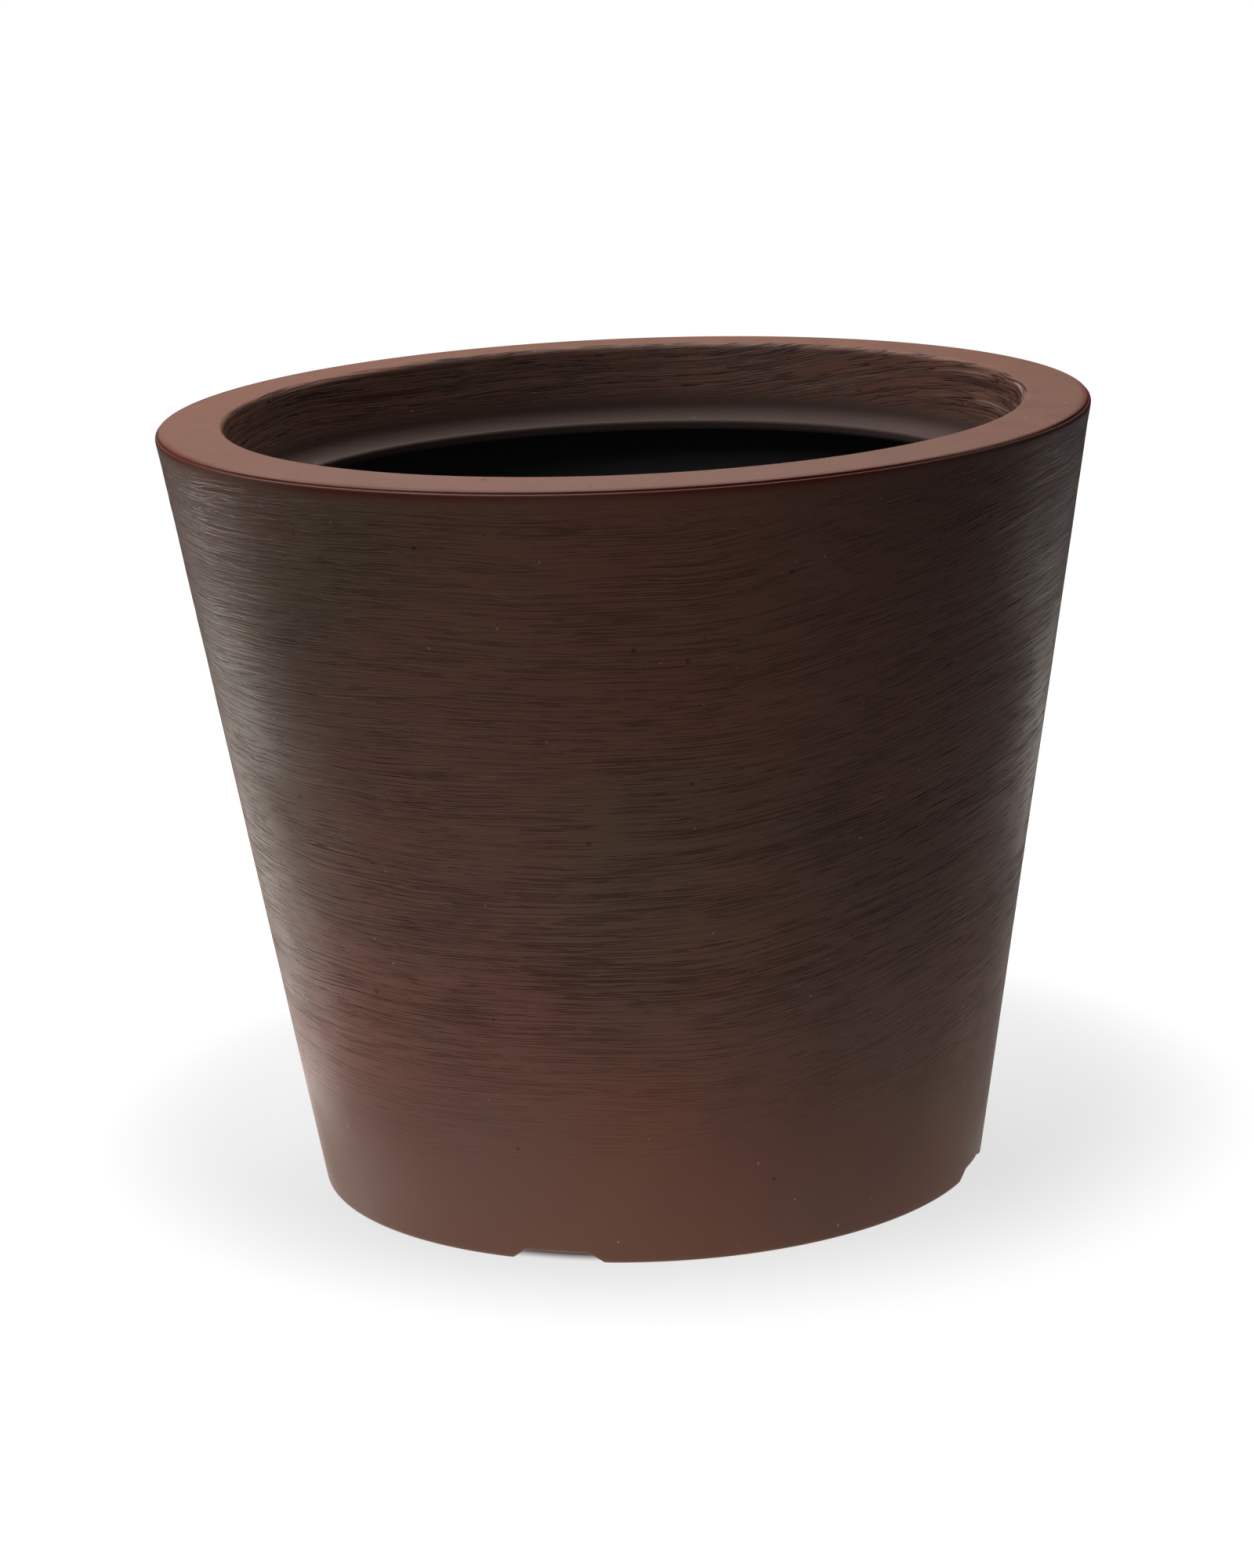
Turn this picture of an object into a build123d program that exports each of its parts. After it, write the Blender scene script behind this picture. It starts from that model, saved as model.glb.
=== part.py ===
"""Cone planter: a rotationally moulded floor planter with four rubber drain stoppers.

The body is one hollow plastic skin: a tapered wall, a broad flat rim, a collar that turns down
inside the rim and ends in a trimmed lip, and a raised floor inside a foot ring. Four notches
through the foot ring let the drained water out, and four push-in stoppers close the drain holes.

Millimetres, +Z up. The origin is on the ground under the middle of the planter.
"""

from build123d import *

import math
import os

# Overall form, measured to the corners of the outside skin before they are rounded
TOP_DIAMETER = 600.0
BASE_DIAMETER = 435.0
HEIGHT = 505.0
WALL = 6.0

# Rim, collar and lip
RIM_WIDTH = 44.0
RIM_FALL = 2.0
RIM_OUTER_ROUND = 4.0
RIM_INNER_ROUND = 5.0
COLLAR_DEPTH = 51.0
COLLAR_TAPER = 8.0
LIP_WIDTH = 14.0
LIP_ROUND = 10.0

# Floor and foot ring
FLOOR_RAISE = 6.5
FOOT_WIDTH = 30.0
FOOT_SLOPE_WIDTH = 6.0
BASE_ROUND = 3.0
FOOT_ROUND = 2.5
INSIDE_ROUND = 2.0

# Notches through the foot ring, which narrow upwards
NOTCH_COUNT = 4
NOTCH_BEARING = -107.0
NOTCH_FOOT_LENGTH = 60.0
NOTCH_ROOF_LENGTH = 41.0

# Drain holes, on the same bearings as the notches
DRAIN_HOLE_DIAMETER = 22.0
DRAIN_CIRCLE_DIAMETER = 260.0

# Rubber stopper
PLUG_CLEARANCE = 0.3
PLUG_TAPER = 0.7
PLUG_REACH = 3.0
PLUG_TIP_CHAMFER = 1.0
FLANGE_OVERLAP = 6.5
FLANGE_THICKNESS = 3.0
FLANGE_ROUND = 1.2
TAB_LENGTH = 18.0
TAB_THICKNESS = 4.0
TAB_HEIGHT = 13.0
TAB_ROUND = 6.0
TAB_BEAD_DIAMETER = 6.0

PLUG_NAMES = ["drain_plug_front", "drain_plug_right", "drain_plug_back", "drain_plug_left"]

# Worked out from the sizes above
TOP_RADIUS = TOP_DIAMETER / 2
BASE_RADIUS = BASE_DIAMETER / 2
RIM_INNER_RADIUS = TOP_RADIUS - RIM_WIDTH
COLLAR_FOOT_RADIUS = RIM_INNER_RADIUS - COLLAR_TAPER
MOUTH_RADIUS = COLLAR_FOOT_RADIUS - LIP_WIDTH
FOOT_INNER_RADIUS = BASE_RADIUS - FOOT_WIDTH
FLOOR_TOP = FLOOR_RAISE + WALL
LIP_TOP = HEIGHT - COLLAR_DEPTH
HOLE_RADIUS = DRAIN_HOLE_DIAMETER / 2
BEARINGS = [NOTCH_BEARING + 360.0 / NOTCH_COUNT * turn for turn in range(NOTCH_COUNT)]

# The outside skin as (radius, height), from the middle of the underside round to the middle of
# the disc that closes the moulding across its mouth until it is trimmed, with each corner's round
SKIN = [
    ((0, FLOOR_RAISE), 0),
    ((FOOT_INNER_RADIUS - FOOT_SLOPE_WIDTH, FLOOR_RAISE), FOOT_ROUND),
    ((FOOT_INNER_RADIUS, 0), FOOT_ROUND),
    ((BASE_RADIUS, 0), BASE_ROUND),
    ((TOP_RADIUS, HEIGHT - RIM_FALL), RIM_OUTER_ROUND),
    ((RIM_INNER_RADIUS, HEIGHT), RIM_INNER_ROUND),
    ((COLLAR_FOOT_RADIUS, LIP_TOP), LIP_ROUND),
    ((0, LIP_TOP), 0),
]


def inside_of(skin, wall):
    """The skin's corners moved one wall inwards, each with the round that follows from it."""
    points = [Vector(*point) for point, _ in skin]
    inside = []
    for index, (_, radius) in enumerate(skin):
        here = points[index]
        before = (here - points[index - 1]).normalized() if index else Vector(1, 0)
        after = (points[index + 1] - here).normalized() if index + 1 < len(points) else Vector(-1, 0)
        inward_before = Vector(-before.Y, before.X)
        inward_after = Vector(-after.Y, after.X)
        mitre = (inward_before + inward_after) * (wall / (1 + inward_before.dot(inward_after)))
        turns_left = before.X * after.Y - before.Y * after.X > 0
        inner_radius = max(radius - wall, INSIDE_ROUND) if turns_left else radius + wall
        corner = here + mitre
        inside.append(((corner.X, corner.Y), inner_radius if radius else 0))
    return inside


def spun(corners):
    """Solid of revolution about Z of a closed outline of (radius, height) corners and rounds."""
    points = [point for point, _ in corners]
    rounds = [radius for _, radius in corners]
    outline = FilletPolyline(*points, radius=rounds, close=True)
    return revolve(Plane.XZ * make_face(outline), Axis.Z)


def at_bearing(shape, bearing, radius=0.0):
    """The shape, drawn on the +X side, moved out along X and turned to its bearing."""
    return Rot(0, 0, bearing) * Pos(radius, 0, 0) * shape


def notch_block(allowance):
    """Bar along X with the notch's section, grown by an allowance on its roof and its two slopes."""
    slope_run = (NOTCH_FOOT_LENGTH - NOTCH_ROOF_LENGTH) / 2
    slope_length = math.hypot(slope_run, FLOOR_RAISE)
    spread = allowance * slope_length / FLOOR_RAISE
    foot_half = NOTCH_FOOT_LENGTH / 2 + spread
    roof_half = NOTCH_ROOF_LENGTH / 2 + spread - allowance * slope_run / FLOOR_RAISE
    roof = FLOOR_RAISE + allowance
    section = Polyline((-foot_half, 0), (foot_half, 0), (roof_half, roof), (-roof_half, roof), close=True)
    return extrude(Plane.YZ * make_face(section), TOP_RADIUS)


def planter_shell():
    """The moulded body: the skin, less its hollow, the trimmed mouth, notches and drain holes."""
    notches = [at_bearing(notch_block(0), bearing) for bearing in BEARINGS]
    bumps = [at_bearing(notch_block(WALL), bearing) for bearing in BEARINGS]
    hole = Pos(0, 0, FLOOR_RAISE) * Cylinder(HOLE_RADIUS, 4 * WALL)
    holes = [at_bearing(hole, bearing, DRAIN_CIRCLE_DIAMETER / 2) for bearing in BEARINGS]
    mouth = Pos(0, 0, LIP_TOP) * Cylinder(MOUTH_RADIUS, 4 * WALL)
    body = spun(SKIN) - notches
    hollow = spun(inside_of(SKIN, WALL)) - bumps
    return body - hollow - mouth - holes


def drain_plug():
    """Stopper at the origin's axis: tapered shank, flange on the floor and a beaded pull tab."""
    shank_radius = HOLE_RADIUS - PLUG_CLEARANCE
    shank_length = WALL + PLUG_REACH
    flange_radius = HOLE_RADIUS + FLANGE_OVERLAP
    tip_radius = shank_radius - PLUG_TAPER
    section = Polyline(
        (0, FLOOR_TOP - shank_length),
        (tip_radius - PLUG_TIP_CHAMFER, FLOOR_TOP - shank_length),
        (tip_radius, FLOOR_TOP - shank_length + PLUG_TIP_CHAMFER),
        (shank_radius, FLOOR_TOP),
        (flange_radius, FLOOR_TOP),
        (flange_radius, FLOOR_TOP + FLANGE_THICKNESS),
        (0, FLOOR_TOP + FLANGE_THICKNESS),
        close=True,
    )
    stopper = revolve(Plane.XZ * make_face(section), Axis.Z)
    rim = stopper.edges().filter_by(GeomType.CIRCLE).group_by(Axis.Z)[-1]
    stopper = fillet(rim, FLANGE_ROUND)
    return stopper + pull_tab()


def pull_tab():
    """Upright tab across the flange, rounded at its top corners, with a grip bead along its top."""
    tab_foot = FLOOR_TOP + FLANGE_THICKNESS / 2
    tab_rise = FLANGE_THICKNESS / 2 + TAB_HEIGHT
    face = RectangleRounded(TAB_LENGTH, 2 * tab_rise, TAB_ROUND)
    tab = extrude(Plane.YZ * face, TAB_THICKNESS / 2, both=True)
    tab = Pos(0, 0, tab_foot) * (tab & Pos(0, 0, tab_rise / 2) * Box(TAB_LENGTH, TAB_LENGTH, tab_rise))
    bead_length = TAB_LENGTH - 2 * TAB_ROUND + TAB_BEAD_DIAMETER
    bead_height = FLOOR_TOP + FLANGE_THICKNESS + TAB_HEIGHT - TAB_BEAD_DIAMETER / 2
    bead = Rot(90, 0, 0) * Cylinder(TAB_BEAD_DIAMETER / 2, bead_length)
    return tab + Pos(0, 0, bead_height) * bead


def build():
    """All pieces by node name, each where it sits in the planter."""
    pieces = {"planter_shell": planter_shell()}
    for name, bearing in zip(PLUG_NAMES, BEARINGS):
        pieces[name] = at_bearing(drain_plug(), bearing, DRAIN_CIRCLE_DIAMETER / 2)
    return pieces


os.makedirs("parts", exist_ok=True)
for node, piece in build().items():
    export_step(piece, f"parts/{node}.step")
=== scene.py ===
"""Looks of the cone planter: the moulded body, its drain stoppers, and a plain studio stage."""

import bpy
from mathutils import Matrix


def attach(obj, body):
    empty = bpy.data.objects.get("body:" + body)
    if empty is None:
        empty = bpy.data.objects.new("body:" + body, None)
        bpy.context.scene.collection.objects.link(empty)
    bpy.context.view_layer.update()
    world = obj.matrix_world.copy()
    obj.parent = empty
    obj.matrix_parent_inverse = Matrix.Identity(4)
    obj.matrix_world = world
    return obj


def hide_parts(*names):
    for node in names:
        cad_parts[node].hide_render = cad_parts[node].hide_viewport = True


bl_info = {
    "name": "Cone planter looks",
    "version": (1, 0, 0),
    "blender": (4, 5, 0),
    "location": "View3D > Sidebar > Planter",
    "description": "Builds the moulded planter body, its stoppers and a plain studio around the packed frame",
    "category": "Object",
}

import bpy
import numpy as np
from mathutils import Matrix, Vector

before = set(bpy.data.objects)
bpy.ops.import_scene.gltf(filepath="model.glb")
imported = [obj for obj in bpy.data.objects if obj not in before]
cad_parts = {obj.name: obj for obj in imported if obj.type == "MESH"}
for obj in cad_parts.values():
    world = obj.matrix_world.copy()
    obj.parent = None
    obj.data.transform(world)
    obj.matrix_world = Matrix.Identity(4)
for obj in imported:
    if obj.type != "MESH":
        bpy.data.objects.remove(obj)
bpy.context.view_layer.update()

MM = 0.001
PLUG_NODES = ["drain_plug_front", "drain_plug_right", "drain_plug_back", "drain_plug_left"]
NOTCH_COUNT = 4

# Marks along the body's profile: a whole number on each side, and one half more on the round after it
ON_BASE_ROUND = 2.5
ON_WALL = 3.0
ON_RIM_ROUND = 3.5
ON_RIM = 4.0
ON_INNER_ROUND = 4.5
ON_COLLAR = 5.0
ON_LIP_ROUND = 5.5
ON_LIP = 6.0
ON_CUT_EDGE = 7.0
ON_INNER_SKIN = 8.0

# Mesh rows on each side and each corner's round of the two skins, from the underside's middle to the lip
OUTER_SIDE_ROWS = [1, 1, 3, 160, 12, 22, 2]
OUTER_ROUND_ROWS = [0, 2, 2, 4, 16, 10, 8, 0]
INNER_SIDE_ROWS = [1, 1, 2, 20, 4, 6, 2]
INNER_ROUND_ROWS = [0, 3, 2, 2, 3, 3, 6, 0]
CUT_EDGE_ROWS = 3

# Floor mesh: the ring next to the axis as a share of the drain circle, and a hole's window in hole radii
AXIS_RING_SHARE = 0.45
WINDOW_REACH = 1.7

# A notch lifts the skin above it up to this many notch heights
LIFTED_HEIGHTS = 4

# Layers of brushed relief: blur along the strokes and across them in metres, and the seed
BROAD_FLATS = (0.110, 0.012, 11)
MIDDLE_STROKES = (0.040, 0.0030, 23)
NARROW_STROKES = (0.022, 0.0014, 37)
STROKE_PATCHES = (0.090, 0.050, 51)

# Standard deviations of a blurred noise that fill the range from 0 to 1
STREAK_SPREAD = 5.0

# Brushed faces: first and last mark, fades at foot and head as shares of the face, and rows drawn ahead of it
WALL_BRUSHING = (ON_WALL, ON_WALL, (0.06, 0.42), (0.0, 0.03), 0)
COLLAR_BRUSHING = (ON_INNER_ROUND, ON_COLLAR, (0.0, 0.04), (0.0, 0.35), 60)

# Parting groove, as shares of the rim's outer round, and the reddish band below it, in metres below the rim
GROOVE_MIDDLE = 0.50
GROOVE_SPREAD = 0.10
BLUSH_TOP = 0.005
BLUSH_FOOT = 0.012

# Step between columns at the rim in metres, and the noises round it, each as blur along, blur across and seed
SEAM_STEP = 0.006
GROOVE_NOISE = (0.05, 0.0, 71)
BLUSH_NOISE = (0.045, 0.0, 72)

# Brush strokes in the plastic: stretch across and upward of the three sizes, and their bends in metres
COARSE_STRETCH = (4.2, 250.0)
FINE_STRETCH = (9.0, 540.0)
HAIR_STRETCH = (40.0, 1300.0)
STROKE_SWAY = 0.014
STROKE_RIPPLE = 0.0018
STROKE_SLANT = 0.045

# Small depths of the surface in metres
GRAIN_DEPTH = 0.0001
PIT_DEPTH = 0.0003
RIM_RIPPLE_DEPTH = 0.0005

# Colour blotches: name, shift of the noise and its scale
BLOTCHES = [("Red", 3.1, 3.4), ("Olive", 7.7, 3.2), ("Plum", 12.9, 4.2)]

# Small marks: name, cells in a metre, colour channel that picks cells, its least value, and a mark's reach
MARKS_IN_CELLS = [("Pits", 95.0, 0, 0.90, 0.16), ("Dust", 160.0, 1, 0.93, 0.15)]

# Soft lights: name, property that holds the watts, place, aim, width and height in metres
SOFT_LIGHTS = [
    ("key light", "key_power", (-0.3, 0.6, 2.2), (0.0, 0.0, 0.4), 1.8, 1.2),
    ("back wall light", "wall_power", (0.0, 3.0, 0.9), (0.0, 0.0, 0.5), 5.0, 1.6),
    ("side light", "side_power", (-2.0, 0.9, 0.45), (0.0, 0.0, 0.25), 0.8, 0.6),
    ("fill light", "fill_power", (-1.4, -2.4, 2.4), (0.0, 0.0, 0.2), 1.2, 1.2),
]

# Studio floor: radii of its rings in metres, its columns, its own grey and the two whites that it sends out
FLOOR_RINGS = [0.0001, 0.5, 1.0, 2.0, 5.0, 20.0, 80.0]
FLOOR_COLUMNS = 64
FLOOR_GREY = (0.15, 0.15, 0.15, 1.0)
WHITE = (1.0, 1.0, 1.0, 1.0)
WARM_WHITE = (1.0, 0.93, 0.86, 1.0)

# Middle of the soft shade round the planter, and the floor's bright pools: full out to the first radius, then
# fading, each with its place, its reach and its share of the light
SHADE_MIDDLE = (0.0, 0.12, 0.0)
POOL_EDGE = 0.05
FLOOR_POOLS = [
    ((-0.44, 0.16, 0.0), 0.26, 0.8),
    ((-0.78, 0.55, 0.0), 0.34, 3.2),
    ((-1.20, 1.05, 0.0), 0.60, 0.35),
    ((0.85, 0.80, 0.0), 0.60, 0.8),
]


def length(name, text, default_mm, low_mm=0.0, high_mm=2000.0):
    """Length property shown in metres, with its default given in millimetres."""
    return bpy.props.FloatProperty(name=name, description=text, default=default_mm * MM, min=low_mm * MM,
                                   max=high_mm * MM, unit="LENGTH", precision=5)


def colour(name, text, red, green, blue):
    """Colour property in scene linear values."""
    return bpy.props.FloatVectorProperty(name=name, description=text, default=(red, green, blue), size=3,
                                         min=0.0, max=1.0, subtype="COLOR")


def factor(name, text, default, low=0.0, high=1.0):
    """Plain number property."""
    return bpy.props.FloatProperty(name=name, description=text, default=default, min=low, max=high)


class PLANTER_PG_body(bpy.types.PropertyGroup):
    """Sizes of the moulded body, to the corners of its skin before they are rounded."""

    top_radius: length("Top radius", "Radius of the rim's outer corner", 300.0)
    base_radius: length("Base radius", "Radius of the foot's outer corner", 217.5)
    height: length("Height", "Height of the rim's inner corner", 505.0)
    wall: length("Wall", "Thickness of the moulded skin", 6.0)
    rim_width: length("Rim width", "Width of the flat rim", 44.0)
    rim_fall: length("Rim fall", "How far the rim drops towards its outer edge", 2.0)
    rim_outer_round: length("Outer round", "Round of the rim's outer edge", 4.0)
    rim_inner_round: length("Inner round", "Round of the rim's inner edge", 5.0)
    collar_depth: length("Collar depth", "Depth of the collar below the rim", 51.0)
    collar_taper: length("Collar taper", "How far the collar draws in over its depth", 8.0)
    lip_width: length("Lip width", "Width of the trimmed lip", 14.0)
    lip_round: length("Lip round", "Round between collar and lip", 10.0)
    floor_raise: length("Floor raise", "Height of the floor's underside", 6.5)
    foot_width: length("Foot width", "Width of the foot ring", 30.0)
    foot_slope: length("Foot slope", "Width of the foot ring's inner slope", 6.0)
    base_round: length("Base round", "Round of the foot's outer edge", 3.0)
    foot_round: length("Foot round", "Rounds of the foot's inner slope", 2.5)
    inside_round: length("Inside round", "Smallest round on the inner face", 2.0)
    notch_bearing: bpy.props.FloatProperty(name="Notch bearing", description="Bearing of the first notch",
                                           default=np.radians(-107.0), subtype="ANGLE")
    notch_foot: length("Notch foot", "Length of a notch at the ground", 60.0)
    notch_roof: length("Notch roof", "Length of a notch at its roof", 41.0)
    hole_radius: length("Drain hole radius", "Radius of a drain hole", 11.0)
    hole_circle: length("Drain circle radius", "Radius of the circle that the holes lie on", 130.0)
    columns: bpy.props.IntProperty(name="Columns", description="Columns of the mesh round the body",
                                   default=320, min=80, max=800)
    relief: length("Relief", "Depth of the brushed relief on wall and collar", 0.45)
    groove: length("Parting groove", "Depth of the parting groove on the rim's outer round", 0.8)


class PLANTER_PG_finish(bpy.types.PropertyGroup):
    """Colours and finish of the plastic and the rubber."""

    brown: colour("Brown", "Main colour of the wall", 0.146, 0.066, 0.046)
    red_brown: colour("Red brown", "Warm blotches of the wall", 0.180, 0.060, 0.037)
    green_brown: colour("Olive brown", "Olive blotches of the wall", 0.120, 0.072, 0.045)
    plum: colour("Plum", "Cool dark blotches of the wall", 0.086, 0.046, 0.042)
    rim_brown: colour("Rim brown", "Colour of the smooth rim", 0.170, 0.077, 0.052)
    lip_grey: colour("Lip grey", "Colour of the smooth trimmed lip", 0.070, 0.048, 0.042)
    seam_red: colour("Seam red", "Colour in and just below the parting groove", 0.120, 0.018, 0.010)
    # Painted shade: the dark laid into the brush strokes' creases, the collar's low strokes and the mould's
    # pits
    crease_shade: colour("Stroke dark", "Colour at the bottom of the brush strokes", 0.030, 0.012, 0.008)
    dust: colour("Dust", "Pale dust and scuffs", 0.42, 0.36, 0.33)
    inside: colour("Inside", "Dark inner face of the moulding", 0.070, 0.070, 0.070)
    rubber: colour("Rubber", "Colour of the stoppers", 0.012, 0.012, 0.013)
    shine: factor("Shine", "Specular level of the plastic outside its brush strokes", 0.20)
    roughness: factor("Roughness", "Roughness of the plastic", 0.46)
    stroke_depth: length("Stroke depth", "Depth of the fine brush strokes", 0.8)


class PLANTER_PG_studio(bpy.types.PropertyGroup):
    """Camera and lights."""

    lens: factor("Lens", "Focal length in millimetres for a 36 mm wide film", 106.35, 10.0, 500.0)
    distance: length("Distance", "Horizontal distance of the camera from the axis", 2943.0, 0.0, 20000.0)
    camera_height: length("Camera height", "Height of the camera above the ground", 982.0, 0.0, 20000.0)
    camera_side: length("Camera side", "Camera's offset to the right", -7.4, -2000.0)
    pitch: bpy.props.FloatProperty(name="Pitch", description="Downward tilt of the camera",
                                   default=np.radians(13.90), subtype="ANGLE")
    roll: bpy.props.FloatProperty(name="Roll", description="Roll of the camera about its view",
                                  default=-0.0429, subtype="ANGLE")
    key_power: factor("Key light", "Watts of the soft light high behind the planter", 60.0, 0.0, 5000.0)
    wall_power: factor("Back wall", "Watts of the wide soft light behind the planter", 0.8, 0.0, 5000.0)
    side_power: factor("Side light", "Watts of the soft light on the left", 1.2, 0.0, 5000.0)
    fill_power: factor("Fill light", "Watts of the weak light from the front", 14.0, 0.0, 5000.0)
    floor_glow: factor("Floor glow", "Light that the floor near the planter sends up", 1.05, 0.0, 10.0)
    floor_pool: factor("Floor pool", "Light of the bright pools on the floor by the planter", 2.4, 0.0, 10.0)
    room: factor("Room light", "Strength of the light from all round", 0.035, 0.0, 10.0)


def corner_list(body):
    """Skin corners as rows of radius, height and round, from the underside's middle round to the lip.

    The mouth's corner is left on the axis here and is moved to the lip's edge in body_profile.
    """
    foot_inner = body.base_radius - body.foot_width
    rim_inner = body.top_radius - body.rim_width
    collar_foot = rim_inner - body.collar_taper
    lip_top = body.height - body.collar_depth
    return np.array([
        (0.0, body.floor_raise, 0.0),
        (foot_inner - body.foot_slope, body.floor_raise, body.foot_round),
        (foot_inner, 0.0, body.foot_round),
        (body.base_radius, 0.0, body.base_round),
        (body.top_radius, body.height - body.rim_fall, body.rim_outer_round),
        (rim_inner, body.height, body.rim_inner_round),
        (collar_foot, lip_top, body.lip_round),
        (0.0, lip_top, 0.0),
    ])


def inner_corners(corners, wall, least_round):
    """Corners moved one wall inwards: each moves along the mitre of its two sides' normals."""
    steps = np.diff(corners[:, :2], axis=0)
    ways = steps / np.linalg.norm(steps, axis=1)[:, None]
    before = np.vstack([(1.0, 0.0), ways])
    after = np.vstack([ways, (-1.0, 0.0)])
    normal_before = np.column_stack([-before[:, 1], before[:, 0]])
    normal_after = np.column_stack([-after[:, 1], after[:, 0]])
    share = wall / (1.0 + (normal_before * normal_after).sum(axis=1))
    turn = before[:, 0] * after[:, 1] - before[:, 1] * after[:, 0]
    rounds = np.where(turn > 0, np.maximum(corners[:, 2] - wall, least_round), corners[:, 2] + wall)
    moved = corners[:, :2] + (normal_before + normal_after) * share[:, None]
    return np.column_stack([moved, np.where(corners[:, 2] > 0, rounds, 0.0)])


def rounded_line(corners, straight_rows, round_rows):
    """Points along an open line with rounded corners, and the share of the way along each side.

    Each side is divided evenly between the ends of its two rounds, and each round is an arc
    about the centre that touches both sides, divided evenly in angle. The second result holds
    the number of the side, plus one half on a round.
    """
    points, marks = [corners[0, :2][None]], [np.zeros(1)]
    start = corners[0, :2]
    last = len(corners) - 1
    for index in range(1, len(corners)):
        here = corners[index, :2]
        way_in = here - corners[index - 1, :2]
        way_in = way_in / np.linalg.norm(way_in)
        radius = corners[index, 2]
        reach = 0.0
        if index < last and radius > 0:
            way_out = corners[index + 1, :2] - here
            way_out = way_out / np.linalg.norm(way_out)
            turn = np.arctan2(way_in[0] * way_out[1] - way_in[1] * way_out[0], way_in @ way_out)
            reach = radius * np.tan(abs(turn) / 2)
        end = here - way_in * reach
        share = np.linspace(0, 1, straight_rows[index - 1] + 1)[1:, None]
        points.append(start + (end - start) * share)
        marks.append(np.full(len(share), index - 1.0))
        start = end
        if reach:
            side = np.sign(turn)
            normal = np.array([-way_in[1], way_in[0]]) * side
            centre = end + normal * radius
            sweep = np.linspace(0, turn, round_rows[index] + 1)[1:]
            spoke = end - centre
            arc = np.column_stack([
                centre[0] + spoke[0] * np.cos(sweep) - spoke[1] * np.sin(sweep),
                centre[1] + spoke[0] * np.sin(sweep) + spoke[1] * np.cos(sweep),
            ])
            points.append(arc)
            marks.append(np.full(len(arc), index - 0.5))
            start = arc[-1]
    return np.vstack(points), np.concatenate(marks)


def column_angles(body):
    """Even angles from the first notch's middle, with the nearest ones moved onto the notch corners."""
    count = body.columns // NOTCH_COUNT
    quarter = np.arange(count) * (2 * np.pi / body.columns)
    span = 2 * np.pi / NOTCH_COUNT
    for half_length in (body.notch_roof / 2, body.notch_foot / 2):
        corner = np.arcsin(half_length / body.base_radius)
        quarter[np.argmin(abs(quarter - corner))] = corner
        quarter[np.argmin(abs(quarter - (span - corner)))] = span - corner
    turns = np.arange(NOTCH_COUNT) * span
    return body.notch_bearing + (turns[:, None] + quarter[None, :]).ravel()


def notch_height(body, radius, angle, wall):
    """Height of the notches at each point, or, with a wall, of the bumps that lie over them inside.

    Both are trapezoids across each notch; the bump's is grown by one wall on every side.
    """
    span = 2 * np.pi / NOTCH_COUNT
    off = (angle - body.notch_bearing + span / 2) % span - span / 2
    across = abs(radius * np.sin(off))
    slope_run = (body.notch_foot - body.notch_roof) / 2
    spread = wall * np.hypot(slope_run, body.floor_raise) / body.floor_raise
    rise = (body.notch_foot / 2 + spread - across) * body.floor_raise / slope_run
    return np.clip(rise, 0, body.floor_raise + wall)


def streaks(rows, columns, row_size, column_size, long_size, short_size, seed):
    """Brushed relief between 0 and 1: white noise blurred far along the strokes and little across.

    The blur is a Gaussian in the frequency plane, so the field closes on itself round the body.
    """
    noise = np.random.default_rng(seed).normal(size=(rows, columns))
    along = np.fft.fftfreq(columns, column_size)
    across = np.fft.fftfreq(rows, row_size)
    damp_along = (np.pi * long_size * along[None, :]) ** 2
    damp_across = (np.pi * short_size * across[:, None]) ** 2
    damp = np.exp(-2 * damp_along - 2 * damp_across)
    field = np.fft.ifft2(np.fft.fft2(noise) * damp).real
    field = (field - field.mean()) / field.std()
    return np.clip(0.5 + field / STREAK_SPREAD, 0, 1)


def brushed_relief(rows, columns, row_size, column_size):
    """Depth share of the relief: broad flats, plus middle and narrow strokes as strong as the patches are."""
    grid = (rows, columns, row_size, column_size)
    broad = streaks(*grid, *BROAD_FLATS)
    middle = streaks(*grid, *MIDDLE_STROKES)
    narrow = streaks(*grid, *NARROW_STROKES)
    patch = streaks(*grid, *STROKE_PATCHES)
    amount = np.clip((patch - 0.30) * 2.5, 0.15, 1)
    return np.clip(0.35 * broad + amount * (0.40 * middle + 0.45 * narrow), 0, 1)


def ease(low, high, value):
    """Smooth step from 0 at low to 1 at high."""
    share = np.clip((value - low) / (high - low), 0, 1)
    return share * share * (3 - 2 * share)


def grid_faces(rows, columns):
    """Quads of a grid that closes on itself across its columns, as four vertex numbers each."""
    row, column = np.meshgrid(np.arange(rows - 1), np.arange(columns), indexing="ij")
    after = (column + 1) % columns
    return np.stack([row * columns + column, row * columns + after,
                     (row + 1) * columns + after, (row + 1) * columns + column], axis=-1)


def mesh_object(name, vertices, faces, attributes):
    """Mesh object from vertex and face arrays, smooth, with one float attribute for each named array."""
    mesh = bpy.data.meshes.new(name)
    mesh.from_pydata(vertices.tolist(), [], faces)
    mesh.update()
    for label, values in attributes.items():
        layer = mesh.attributes.new(label, "FLOAT", "POINT")
        layer.data.foreach_set("value", np.ascontiguousarray(values, np.float32))
    mesh.polygons.foreach_set("use_smooth", np.ones(len(mesh.polygons), bool))
    piece = bpy.data.objects.new(name, mesh)
    bpy.context.scene.collection.objects.link(piece)
    return piece


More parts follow.
